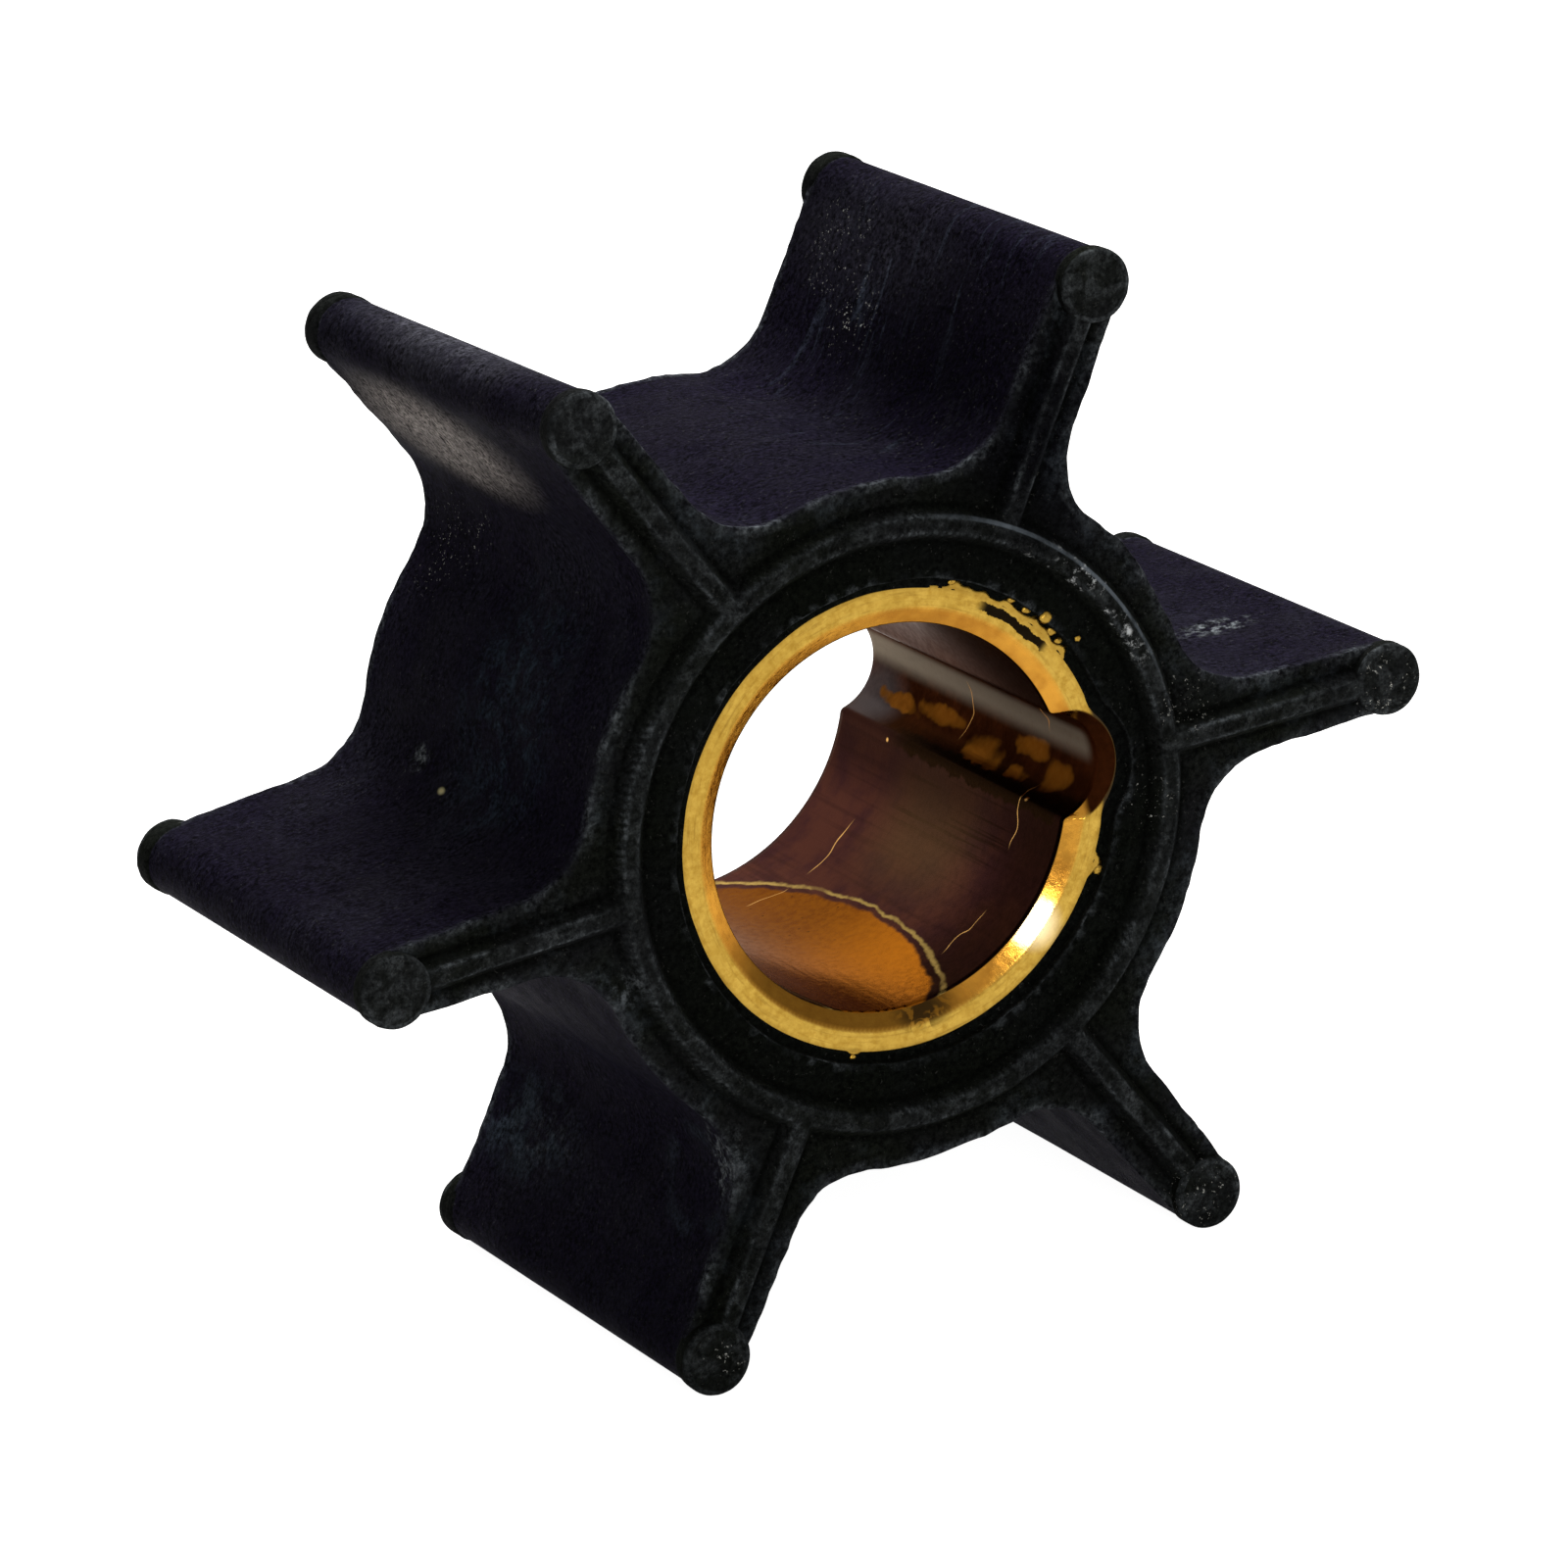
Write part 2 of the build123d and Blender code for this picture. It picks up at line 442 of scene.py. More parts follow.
def cap_profile(stand):
    """Radius, rise and edge value from the middle of a bead cap's top to the middle of its hidden base."""
    rows = [(r, stand, 0) for r in (0.0, 0.3, 0.6, 0.9, 1.15, CAP_R - CAP_RIM - 0.06)]
    rows += [(CAP_R - CAP_RIM * (1 - sin(a)), stand - CAP_RIM * (1 - cos(a)), 1) for a in np.linspace(0, pi / 2, 6)]
    rows += [(CAP_R, y, 0) for y in np.linspace(stand - 0.3, -CAP_DEPTH + 0.26, 5)]
    rows += [(CAP_R - inset, -CAP_DEPTH + rise, 0)
             for inset, rise in ((0.03, 0.16), (0.08, 0.07), (0.14, 0), (0.6, 0), (CAP_R, 0))]
    return np.array(rows).T


def bead_cap(index, sign):
    """A disc with a rounded rim that stands proud of one end of a blade's tip: its profile turned
    about the bead's middle, and pressed in a little by random dents. Returns points and edge values.
    """
    pivot, way = blade_frame(index)
    centre = pivot + along(way, TIP_AT - HUB)
    stand = CAP_RISE + (FAR_RISE[index] if sign > 0 else 0)
    r, rise, edge = cap_profile(stand)
    turn = np.linspace(0, 2 * pi, CAP_SIDES, endpoint=False)[:, None]
    y = sign * (HALF + np.broadcast_to(rise, (CAP_SIDES, len(rise))))
    grid = np.stack([centre[0] + r * np.cos(turn), y, centre[1] + r * np.sin(turn)], -1)
    dent = 0.035 * field(grid, 0.5, 40 + index) + 0.03 * field(grid, 1.4, 50 + index)
    dent = np.abs(dent) * np.clip(r / 0.4, 0, 1)
    top = rise > stand - 0.02
    grid[..., 1] -= sign * np.where(top, dent, 0)
    pull = np.where(top, 0, dent * 0.8)
    grid[..., 0] -= np.cos(turn) * pull
    grid[..., 2] -= np.sin(turn) * pull
    return grid, edge


def moulding():
    """The rubber: side, both ends with their seats round the sleeve, the bonded joint and the bead caps."""
    shell = Shell("end", "edge", "crest", "foot", "brink")
    wall, lip, rounding = side_wall(*star(0.36))
    shell.grid(twisted(wall), flip=True, edge=lip * 0.9, end=rounding * 0.5)
    floor, normal = keyed(SLEEVE + SEAT_GAP, KEY_R + KEY_WALL + SEAT_GAP, BULGE, 0.3)
    extra = end_points()
    for sign, seed in ENDS:
        wobble = 0.05 * field(np.c_[floor, np.full(len(floor), seed)], 1.0, seed)
        seat = floor + normal * wobble[:, None]
        outer = wall[:, 0 if sign < 0 else -1][:, [0, 2]]
        end_face(shell, outer, seat + normal * SEAT_EDGE, extra, sign, seed)
        rows = seat_rows(floor, seat, normal, film_width(np.arctan2(seat[:, 1], seat[:, 0]), seed))
        shell.grid(stacked((flat, sign * (HALF - deep)) for flat, deep in rows),
                   flip=sign > 0, end=1, edge=np.r_[0.7, 0.6, 0.4, 0.2, 0.1, np.zeros(8)])
    # The bonded joint, unseen, closes the moulding from end to end
    buried = HALF - SEAT - 0.3
    shell.grid(stacked((floor - normal * BOND, y) for y in np.linspace(-buried, buried, 8)))
    for index in range(BLADES):
        for sign, _ in ENDS:
            grid, edge = bead_cap(index, sign)
            shell.grid(twisted(grid), flip=sign < 0, end=1, edge=edge * 0.8)
    return shell.build("rubber_body", rubber)


# ---- the sleeve
def sleeve_edge(turn, layer):
    """Points on the sleeve's outer edge by angle round the shaft, in a layer of a random field."""
    return np.c_[np.cos(turn) * SLEEVE, np.sin(turn) * SLEEVE, np.full(len(turn), layer)]


def film_width(turn, seed):
    """How far a thin, uneven film of rubber lies over the sleeve's outer edge, by angle round the shaft."""
    edge = sleeve_edge(turn, seed * 3.0)
    uneven = 0.012 * field(edge, 0.7, seed + 20) + 0.035 * field(edge, 2.6, seed + 21)
    behind_key = np.clip((radians(17) - np.abs(turn)) / radians(4), 0, 1)
    return np.maximum(0.02, 0.06 + uneven) + 0.1 * behind_key


def burr(turn, sign, seed):
    """Reach of the ragged brass burr past the sleeve's outer edge. Only the near end has one."""
    zone = np.zeros(len(turn))
    for at, wide, far in BURRS if sign < 0 else ():
        zone += far * bump(apart(np.degrees(turn), at), wide)
    return zone * np.clip(0.75 + 1.1 * field(sleeve_edge(turn, seed * 5.0), 0.33, seed + 30), 0, 1.3) - 0.02


def mouth_relief(flat):
    """Depth below the brass face of its two mouths: a cone round the bore, and the keyway's leaning cone.

    The keyway's circle moves outwards as it nears the face, so its rim almost touches the rubber. The
    depth at which a point leaves that circle is found by halving.
    """
    round_bore = (BORE + BORE_MOUTH - np.hypot(flat[:, 0], flat[:, 1])) * MOUTH_DEPTH / BORE_MOUTH
    low, high = np.zeros(len(flat)), np.full(len(flat), MOUTH_DEPTH)
    for _ in range(18):
        level = (low + high) / 2
        share = 1 - level / MOUTH_DEPTH
        centre, radius = KEY_X + share * (RIM_X - KEY_X), KEY_R + share * (RIM_R - KEY_R)
        within = np.hypot(flat[:, 0] - centre, flat[:, 1]) < radius
        low, high = np.where(within, level, low), np.where(within, high, level)
    round_key = np.where(np.hypot(flat[:, 0] - RIM_X, flat[:, 1]) < RIM_R, low, -0.1)
    both = np.maximum(round_bore, round_key)
    both = (both + np.sqrt(both * both + 0.0004)) / 2 - 0.004
    return np.clip(both, 0, MOUTH_DEPTH)


def crumb(at, radius, size):
    """A lumpy brass crumb: a ball, flattened along the shaft, on the near end at an angle and radius."""
    x, z = along(radians(at), radius)
    lift = 0.02 if radius > SLEEVE + SEAT_GAP + 0.05 else -SEAT + 0.05
    turn = np.linspace(0, 2 * pi, 16, endpoint=False)
    tilt = np.linspace(-pi / 2, pi / 2, 9)
    ball = np.stack([np.outer(np.cos(turn), np.cos(tilt)) * 1.3, 0.5 * np.broadcast_to(np.sin(tilt), (16, 9)),
                     np.outer(np.sin(turn), np.cos(tilt))], -1)
    ball *= size * (1 + 0.22 * field(ball * 1.7 + at, 0.7, 70))[..., None]
    return ball + np.array([x, -HALF - lift, z])


def sleeve():
    """The brass: bore wall with its keyway, both faces with their mouths, the rims, the back and crumbs."""
    shell = Shell("mouth", "face")
    bore, bore_n = keyed(BORE, KEY_R, LIP, 0.2)
    edge, edge_n = keyed(SLEEVE, KEY_R + KEY_WALL, BULGE, 0.16)
    turn = np.arctan2(edge[:, 1], edge[:, 0])
    brow = bore + bore_n * 0.03
    throat = HALF - SEAT - MOUTH_DEPTH
    shell.grid(stacked((bore, y) for y in np.linspace(-throat, throat, 60)))
    outer = edge - edge_n * 0.14
    extra = [ring_points((0, 0), BORE + np.r_[0.12:0.72:5j, 0.76, 0.8, 0.84, 0.9, 1.0, 1.15, 1.35], 0.22),
             ring_points((KEY_X + 0.2, 0), [2.56, 2.66], 0.2),
             ring_points((RIM_X, 0), RIM_R + np.r_[-0.12, -0.06, -0.02, 0.02, 0.08], 0.16)]
    points, faces = patch(outer, brow, np.vstack(extra), 0.05)
    deep, brow_deep = mouth_relief(points), mouth_relief(brow)
    calm = (deep < 0.02) * np.clip(clearance(points, outer) / 0.2, 0, 1)
    for sign, seed in ENDS:
        soft = 0.006 * field(np.c_[points, np.full(len(points), seed)], 0.5, seed + 60) * calm
        shell.add(lifted(points, sign * (HALF - SEAT - deep + soft)), faces if sign < 0 else faces[:, ::-1],
                  mouth=np.clip(deep / 0.06, 0, 1), face=1)
        brink = stacked([(brow, sign * (HALF - SEAT - brow_deep)), (bore, sign * throat)])
        shell.grid(brink, flip=sign > 0, face=np.array([1, 0]), mouth=1)
        out = burr(turn, sign, seed)[:, None]
        top = SEAT - 0.06 * np.clip((out[:, 0] + 0.01) / 0.1, 0, 1)
        rows = [(edge - edge_n * 0.01, SEAT + 0.5), (edge - edge_n * 0.05, SEAT + 0.06),
                (edge + edge_n * (out + 0.02), SEAT + 0.02), (edge + edge_n * out, top),
                (edge + edge_n * (out * 0.5 - 0.07), top), (outer, SEAT)]
        shell.grid(stacked((flat, sign * (HALF - down)) for flat, down in rows), flip=sign > 0, face=1)
    buried = HALF - SEAT - 0.5
    shell.grid(stacked((edge - edge_n * 0.01, y) for y in np.linspace(-buried, buried, 6)), flip=True)
    for at, radius, size in CRUMBS:
        shell.grid(crumb(at, radius, size), flip=True, face=1)
    return shell.build("sleeve_body", brass)


# ---- materials
class Nodes:
    """Short calls that add nodes to one tree and link them. Plain numbers and colours are set in place.

    place is the vector, in mm, that noise and distances start from unless another is given.
    """

    def __init__(self, tree):
        self.tree, self.place = tree, None

    def put(self, socket, value):
        if isinstance(value, bpy.types.NodeSocket):
            self.tree.links.new(value, socket)
        else:
            socket.default_value = (*value, 1) if socket.type == "RGBA" else value

    def add(self, kind, settings=None, **inputs):
        node = self.tree.nodes.new("ShaderNode" + kind)
        for key, value in (settings or {}).items():
            setattr(node, key, value)
        for key, value in inputs.items():
            self.put(node.inputs[key], value)
        return node

    def fill(self, node, *values):
        for socket, value in zip(node.inputs, values):
            self.put(socket, value)
        return node

    def calc(self, operation, *values, clamp=False):
        node = self.add("Math", {"operation": operation, "use_clamp": clamp})
        return self.fill(node, *values).outputs[0]

    def chain(self, operation, first, *others):
        for other in others:
            first = self.calc(operation, first, other)
        return first

    def times(self, *values):
        return self.chain("MULTIPLY", *values)

    def highest(self, *values):
        return self.chain("MAXIMUM", *values)

    def lowest(self, *values):
        return self.chain("MINIMUM", *values)

    def plus(self, a, b, clamp=False):
        return self.calc("ADD", a, b, clamp=clamp)

    def minus(self, a, b):
        return self.calc("SUBTRACT", a, b)

    def vector(self, operation, *values):
        node = self.fill(self.add("VectorMath", {"operation": operation}), *values)
        return node.outputs["Value" if operation == "LENGTH" else "Vector"]

    def stretch(self, x, y, z, vector=None):
        return self.vector("MULTIPLY", self.place if vector is None else vector, (x, y, z))

    def joined(self, x, y):
        return self.add("CombineXYZ", X=x, Y=y).outputs[0]

    def parts(self):
        return self.add("SeparateXYZ", Vector=self.place).outputs[:3]

    def step(self, value, low, high, to_low=0.0, to_high=1.0):
        """A soft step from to_low, where the value is low, to to_high, where it is high."""
        node = self.add("MapRange", {"interpolation_type": "SMOOTHSTEP"})
        return self.fill(node, value, low, high, to_low, to_high).outputs[0]

    def band(self, value, out, full, last, gone):
        """1 from full to last, 0 before out and after gone."""
        return self.times(self.step(value, out, full), self.step(value, last, gone, 1, 0))

    def about(self, value, middle, full, gone, most=1.0):
        """The most within full of a middle value, and 0 further than gone from it."""
        return self.step(self.calc("ABSOLUTE", self.minus(value, middle)), full, gone, most, 0)

    def noise(self, scale, detail=2.0, rough=0.5, warp=0.0, place=None):
        node = self.add("TexNoise", Vector=self.place if place is None else place, Scale=scale,
                        Detail=detail, Roughness=rough, Distortion=warp)
        return node.outputs["Fac"]

    def patches(self, low, high, *noise, least=0.0, most=1.0):
        """Soft-edged patches: noise of the given kind, stepped between two of its levels."""
        return self.step(self.noise(*noise), low, high, least, most)

    def uneven(self, spread, *noise):
        """Noise of the given kind about 0, spread so wide from its lowest to its highest."""
        return self.times(self.minus(self.noise(*noise), 0.5), spread)

    def cells(self, scale):
        return self.add("TexVoronoi", Vector=self.place, Scale=scale).outputs["Distance"]

    def distance(self, vector, at, squash=(1, 1, 1)):
        return self.vector("LENGTH", self.stretch(*squash, self.vector("SUBTRACT", vector, at)))

    def near(self, at, size, squash=(1, 1, 1)):
        """A soft ball of influence about a point: 1 inside, 0 beyond size."""
        return self.step(self.distance(self.place, at, squash), size * 0.25, size, 1, 0)

    def mix(self, factor, a, b, blend="MIX"):
        node = self.add("Mix", {"data_type": "RGBA", "blend_type": blend})
        for index, value in ((0, factor), (6, a), (7, b)):
            self.put(node.inputs[index], value)
        return node.outputs[2]

    def named(self, name):
        return self.add("Attribute", {"attribute_name": name}).outputs["Fac"]

    def normal(self, height, strength, distance):
        return self.add("Bump", Strength=strength, Distance=distance, Height=height).outputs["Normal"]

    def surface(self, shader, *values):
        for label, value in zip(("Base Color", "Roughness", "Normal"), values):
            self.put(shader.inputs[label], value)

    def group(self, tree, **inputs):
        """The one output of a shared effect at this tree's place."""
        return self.add("Group", {"node_tree": tree}, Place=self.place, **inputs).outputs[0]


def effect(name, numbers, label, fill, kind="NodeSocketFloat"):
    """A shared node group of Place and named numbers, with one output that fill(nodes, inputs) works out."""
    tree = bpy.data.node_groups.new(name, "ShaderNodeTree")
    tree.interface.new_socket("Place", in_out="INPUT", socket_type="NodeSocketVector")
    for number in numbers:
        tree.interface.new_socket(number, in_out="INPUT", socket_type="NodeSocketFloat")
    tree.interface.new_socket(label, in_out="OUTPUT", socket_type=kind)
    nodes = Nodes(tree)
    entry, leave = tree.nodes.new("NodeGroupInput"), tree.nodes.new("NodeGroupOutput")
    nodes.place = entry.outputs["Place"]
    nodes.put(leave.inputs[label], fill(nodes, entry.outputs))
    return tree


def fill_worn(n, i):
    """Breaks an edge mask into uneven, dusty stretches."""
    patchy = n.times(n.patches(0.4, 0.68, 0.35, 3.0, 0.6), n.patches(0.34, 0.72, 3.2, 4.0, 0.7))
    return n.times(i["Edge"], patchy, i["Amount"])


def fill_bloom(n, i):
    """The pale film that rises to the surface of old rubber, in soft, finely mottled clouds."""
    cloud = n.patches(0.42, 0.72, 0.17, 4.0, 0.6, 0.4)
    return n.times(cloud, n.patches(0.25, 0.75, 1.3, 5.0, 0.7, 0.5, least=0.3), i["Amount"])


def fill_specks(n, i):
    """Small pale specks where the mask is high, fewer where it is low."""
    spot = n.patches(0.61, 0.67, i["Scale"], 3.0, 0.7)
    return n.times(spot, n.patches(0.45, 0.58, 1.5, 3.0, 0.7), i["Mask"])


def fill_pebble(n, _):
    """Grey value of the pebbled skin: about 1 between its tops and its pits, which go down to 0.12."""
    deep = n.patches(0.3, 0.7, 0.5, 3.0, 0.6, least=0.5)
    return n.highest(n.calc("MULTIPLY_ADD", n.uneven(9.0, 4.2, 4.0, 0.75), deep, 1.0), 0.12)


def fill_grain(n, i):
    """Fine skin of moulded rubber: a pebbled grain with pits under slow waves, as a normal."""
    height = n.plus(n.noise(4.2, 5.0, 0.7), n.times(n.step(n.cells(2.6), 0.0, 0.25), 0.1))
    height = n.plus(height, n.times(n.noise(0.7, 2.0, 0.5), 0.7))
    return n.normal(height, i["Strength"], 0.00016)


worn_edges = effect("Worn edges", ("Edge", "Amount"), "Mask", fill_worn)
rubber_bloom = effect("Rubber bloom", ("Amount",), "Mask", fill_bloom)
specks = effect("Specks", ("Scale", "Mask"), "Mask", fill_specks)
pebbled = effect("Pebbled skin", (), "Value", fill_pebble)
grain = effect("Moulded grain", ("Strength",), "Normal", fill_grain, "NodeSocketVector")


def emptied(owner):
    """The node tree of a new material or world, with nothing in it."""
    owner.use_nodes = True
    owner.node_tree.nodes.clear()
    return Nodes(owner.node_tree)


def material(name):
    """A material with one Principled shader, and nodes whose place is the Object coordinates in mm."""
    made = bpy.data.materials.new(name)
    n = emptied(made)
    shader = n.add("BsdfPrincipled")
    n.add("OutputMaterial", Surface=shader.outputs[0])
    n.place = n.stretch(1 / MM, 1 / MM, 1 / MM, n.add("TexCoord").outputs["Object"])
    return made, n, shader


# Scuffs on the rubber: place, size, squash and strength
SCUFFS = (((20.7, -3.8, 1.5), 1.8, (0.7, 1.3, 1), 1.0), ((-11.6, 5.6, -16.2), 2.4, (1, 0.5, 1), 0.12),
          ((-10.2, -10.4, -12.8), 1.4, (1, 1, 0.5), 0.9), ((-15.2, 4.5, 3.4), 1.0, (1, 1, 1), 1.0),
          ((7.5, -7.5, 16.4), 2.0, (1, 0.6, 1), 0.12), ((-14.0, -11.2, -3.6), 1.2, (1, 1, 1), 0.6),
          ((-12.0, -1.0, -17.5), 2.2, (1, 0.4, 1), 0.03))
# Clusters of pale specks on the rubber: place and size
CLUSTERS = (((9.9, 6.7, 20.3), 3.4), ((8.5, 3.8, 18.0), 2.6), ((-10.7, 8.1, 11.1), 3.0), ((-10.3, 5.5, 12.3), 1.6),
            ((24.5, -11.9, -0.5), 2.2), ((-12.4, -11.9, -21.3), 1.4), ((12.3, -11.9, -21.3), 2.6),
            ((14.5, -11.3, 1.5), 2.0), ((12.3, -11.3, -2.5), 1.6))


def rubber_material():
    made, n, shader = material("rubber_aged")
    end, edge, crest, foot, brink = (n.named(k) for k in ("end", "edge", "crest", "foot", "brink"))
    x, y, z = n.parts()
    radius = n.vector("LENGTH", n.stretch(1, 0, 1))
    turn = n.calc("ARCTAN2", z, x)
    # The sides are violet-black and the ends greener; the ends' colour is also painted lighter, for the weaker light
    # that reaches them
    base = n.mix(end, (0.0062, 0.0049, 0.0112), (0.0074, 0.0086, 0.0062))
    base = n.mix(n.patches(0.35, 0.7, 0.22, 3.0, 0.55, most=0.4), base, (0.0099, 0.009, 0.0128))
    base = n.mix(n.times(crest, 0.3), base, (0.0041, 0.0046, 0.0035))
    # Pale film in clouds, and a slate one on the hub
    film = n.times(n.group(rubber_bloom, Amount=0.8), n.step(end, 0, 1, 0.14, 0.12))
    base = n.mix(film, base, (0.061, 0.064, 0.081))
    slate = n.times(n.near((-13.3, -2.5, 6.8), 6.5, (1, 1.1, 0.75)), n.patches(0.42, 0.7, 0.8, 5.0, 0.7, 1.0))
    base = n.mix(n.times(slate, 0.45), base, (0.044, 0.07, 0.096))
    # A blue-grey smudge across the lower left blade, and a pale ring beside its near edge
    smudge = n.times(n.near((-11.6, 7.4, -16.4), 3.6, (1, 0.6, 1.2)), n.patches(0.40, 0.62, 0.55, 4.0, 0.6, 0.8))
    oval = n.about(n.distance(n.place, (-10.2, -8.2, -14.6), (1, 0.8, 1)), 2.3, 0.1, 0.6)
    oval = n.times(oval, n.patches(0.4, 0.6, 0.4, 2.0, 0.5), 0.35)
    base = n.mix(n.times(n.highest(smudge, oval), 0.6), base, (0.046, 0.061, 0.078))
    # Thin strokes wiped along the upper right blade, from tip to root
    turned = n.add("Mapping", Vector=n.place, Rotation=(radians(8), radians(60), 0)).outputs[0]
    stroke = n.step(n.noise(0.8, 3.0, 0.6, 0.9, n.stretch(0.20, 1.1, 0.5, turned)), 0.56, 0.72, 0, 0.6)
    base = n.mix(n.times(stroke, n.near((9.4, -1.0, 18.0), 11.5, (1, 0.9, 1))), base, (0.058, 0.07, 0.099))
    marks = n.highest(*(n.times(n.near(at, size, squash), strength) for at, size, squash, strength in SCUFFS))
    base = n.mix(n.times(marks, n.patches(0.45, 0.66, 1.8, 5.0, 0.75)), base, (0.174, 0.191, 0.2))
    # Painted sheen: a pale tan band on the upper left flank, in place of the backdrop's reflection there
    painted_sheen_band = n.times(n.near((-12.6, 3.4, 17.6), 4.0, (1, 0.40, 1)), n.patches(0.3, 0.7, 0.6, 4.0, 0.6, least=0.6))
    base = n.mix(n.times(painted_sheen_band, 0.8), base, (0.435, 0.389, 0.36))
    # Painted highlight: a pale haze, for light from above left, on the top of the upper left bead and on the flank of
    # the upper right blade near its tip
    painted_highlight_haze = n.times(n.near((10.4, 4.0, 20.5), 4.0, (1, 0.4, 1)), 0.3)
    painted_highlight_haze = n.highest(painted_highlight_haze, n.near((-11.8, 1.0, 22.9), 3.4, (1, 0.30, 1)))
    painted_highlight_haze = n.times(painted_highlight_haze, n.patches(0.3, 0.7, 1.0, 5.0, 0.7, least=0.3))
    base = n.mix(n.times(painted_highlight_haze, 0.35), base, (0.145, 0.145, 0.168))
    # The bead caps' ends are mottled grey
    mottle = n.patches(0.42, 0.75, 1.0, 5.0, 0.7, 0.5, least=0.05, most=0.65)
    base = n.mix(n.times(n.step(n.calc("ABSOLUTE", y), 11.70, 11.84), mottle), base, (0.081, 0.089, 0.093))
    # Painted shade: the hollow below the upper right blade is darkened and made more violet, for the shadow at the
    # blade's root
    painted_shade_hollow = n.near((9.4, -5.0, 15.2), 8.5, (1, 0.55, 1))
    base = n.mix(n.times(painted_shade_hollow, 0.85), base, (0.0009, 0.0005, 0.0023))
    # The seat round the sleeve stays dark, and the feet of the ribs get painted shade, for the creases where they
    # meet the face
    seat = n.times(end, n.step(radius, 12.4, 12.9, 0.55, 0))
    base = n.mix(seat, base, (0.0023, 0.0029, 0.002))
    base = n.mix(n.times(foot, 0.8), base, (0.0017, 0.002, 0.0015))
    # Grey-blue dust on the ends beside the outline, in stretches
    stretches = n.times(n.patches(0.45, 0.64, 0.30, 3.0, 0.55, 0.3), n.patches(0.35, 0.68, 1.8, 5.0, 0.72))
    base = n.mix(n.times(brink, stretches, 0.38), base, (0.087, 0.104, 0.122))
    # Dust that sits on the edges of ribs, outline and beads
    dust = n.group(worn_edges, Edge=edge, Amount=1.0)
    base = n.mix(n.times(edge, 0.13), base, (0.058, 0.064, 0.07))
    base = n.mix(dust, base, (0.122, 0.136, 0.145))
    # Pebbled skin darkens and lightens all of it
    base = n.mix(n.step(end, 0, 1, 1.0, 0.65), base, n.group(pebbled), "MULTIPLY")
    # White scuffs on the near end's ring rib, between 16 and 56 degrees
    arc = n.times(n.band(turn, 0.28, 0.42, 0.86, 0.98), n.step(y, -11.5, -11.68))
    chips = n.times(n.patches(0.53, 0.66, 2.0, 5.0, 0.8), n.patches(0.42, 0.54, 0.8, 2.0, 0.5))
    base = n.mix(n.times(arc, chips), base, (0.7, 0.725, 0.725))
    # Painted highlight: a thin blue-grey lit line along the ring's outer edge from 13 to 80 degrees
    painted_ring_highlight = n.times(n.about(radius, RING + RIB_TOP, 0.05, 0.13), n.band(turn, 0.22, 0.36, 1.05, 1.40))
    painted_ring_highlight = n.times(painted_ring_highlight, n.step(y, -11.4, -11.6), n.patches(0.35, 0.6, 0.6, 3.0, 0.6, least=0.25))
    base = n.mix(n.times(painted_ring_highlight, 0.7), base, (0.18, 0.21, 0.24))
    # Specks: a thin scatter everywhere, clusters, one yellow crumb and one dark dot
    cluster = n.highest(*(n.near(at, size) for at, size in CLUSTERS))
    crumbs = n.group(specks, Scale=5.5, Mask=n.plus(cluster, 0.04, clamp=True))
    base = n.mix(n.times(crumbs, 0.85), base, (0.9, 0.9, 0.82))
    base = n.mix(n.near((-15.75, 1.5, 2.75), 0.24, (1, 0.6, 1)), base, (0.9, 0.8, 0.41))
    base = n.mix(n.near((-12.4, 3.2, 17.8), 0.3), base, (0.0058, 0.0058, 0.0058))
    rough = n.plus(n.patches(0.3, 0.7, 0.5, 3.0, 0.6, least=0.50, most=0.62), n.times(end, 0.08))
    n.surface(shader, base, n.plus(rough, n.times(dust, 0.2), clamp=True), n.group(grain, Strength=0.5))
    shader.inputs["Specular IOR Level"].default_value = 0.003
    return made


# Amber blotches in the keyway: place along the shaft, angle round the keyway, length and width
BLOTCHES = ((7.0, -0.72, 1.7, 0.17), (3.2, -0.62, 1.8, 0.18), (-1.4, -0.91, 1.6, 0.34),
            (-5.2, -0.42, 1.4, 0.20), (-4.4, -1.02, 0.7, 0.14), (-7.5, -0.74, 1.4, 0.30))
# Fine scratches across the bore: place and size
SCRATCHES = (((10.2, 0.95, -0.7), 1.5), ((8.3, -6.6, -3.3), 1.7), ((4.9, 5.95, -7.2), 1.8),
             ((4.4, -7.3, -7.6), 1.5), ((1.3, 6.1, -8.7), 1.2), ((10.0, -6.2, 1.2), 1.4))
# Painted glints: bright points at the ends of scratches: place and size
GLINTS = (((8.3, 5.75, -2.8), 0.14), ((8.5, -6.9, -2.45), 0.16))


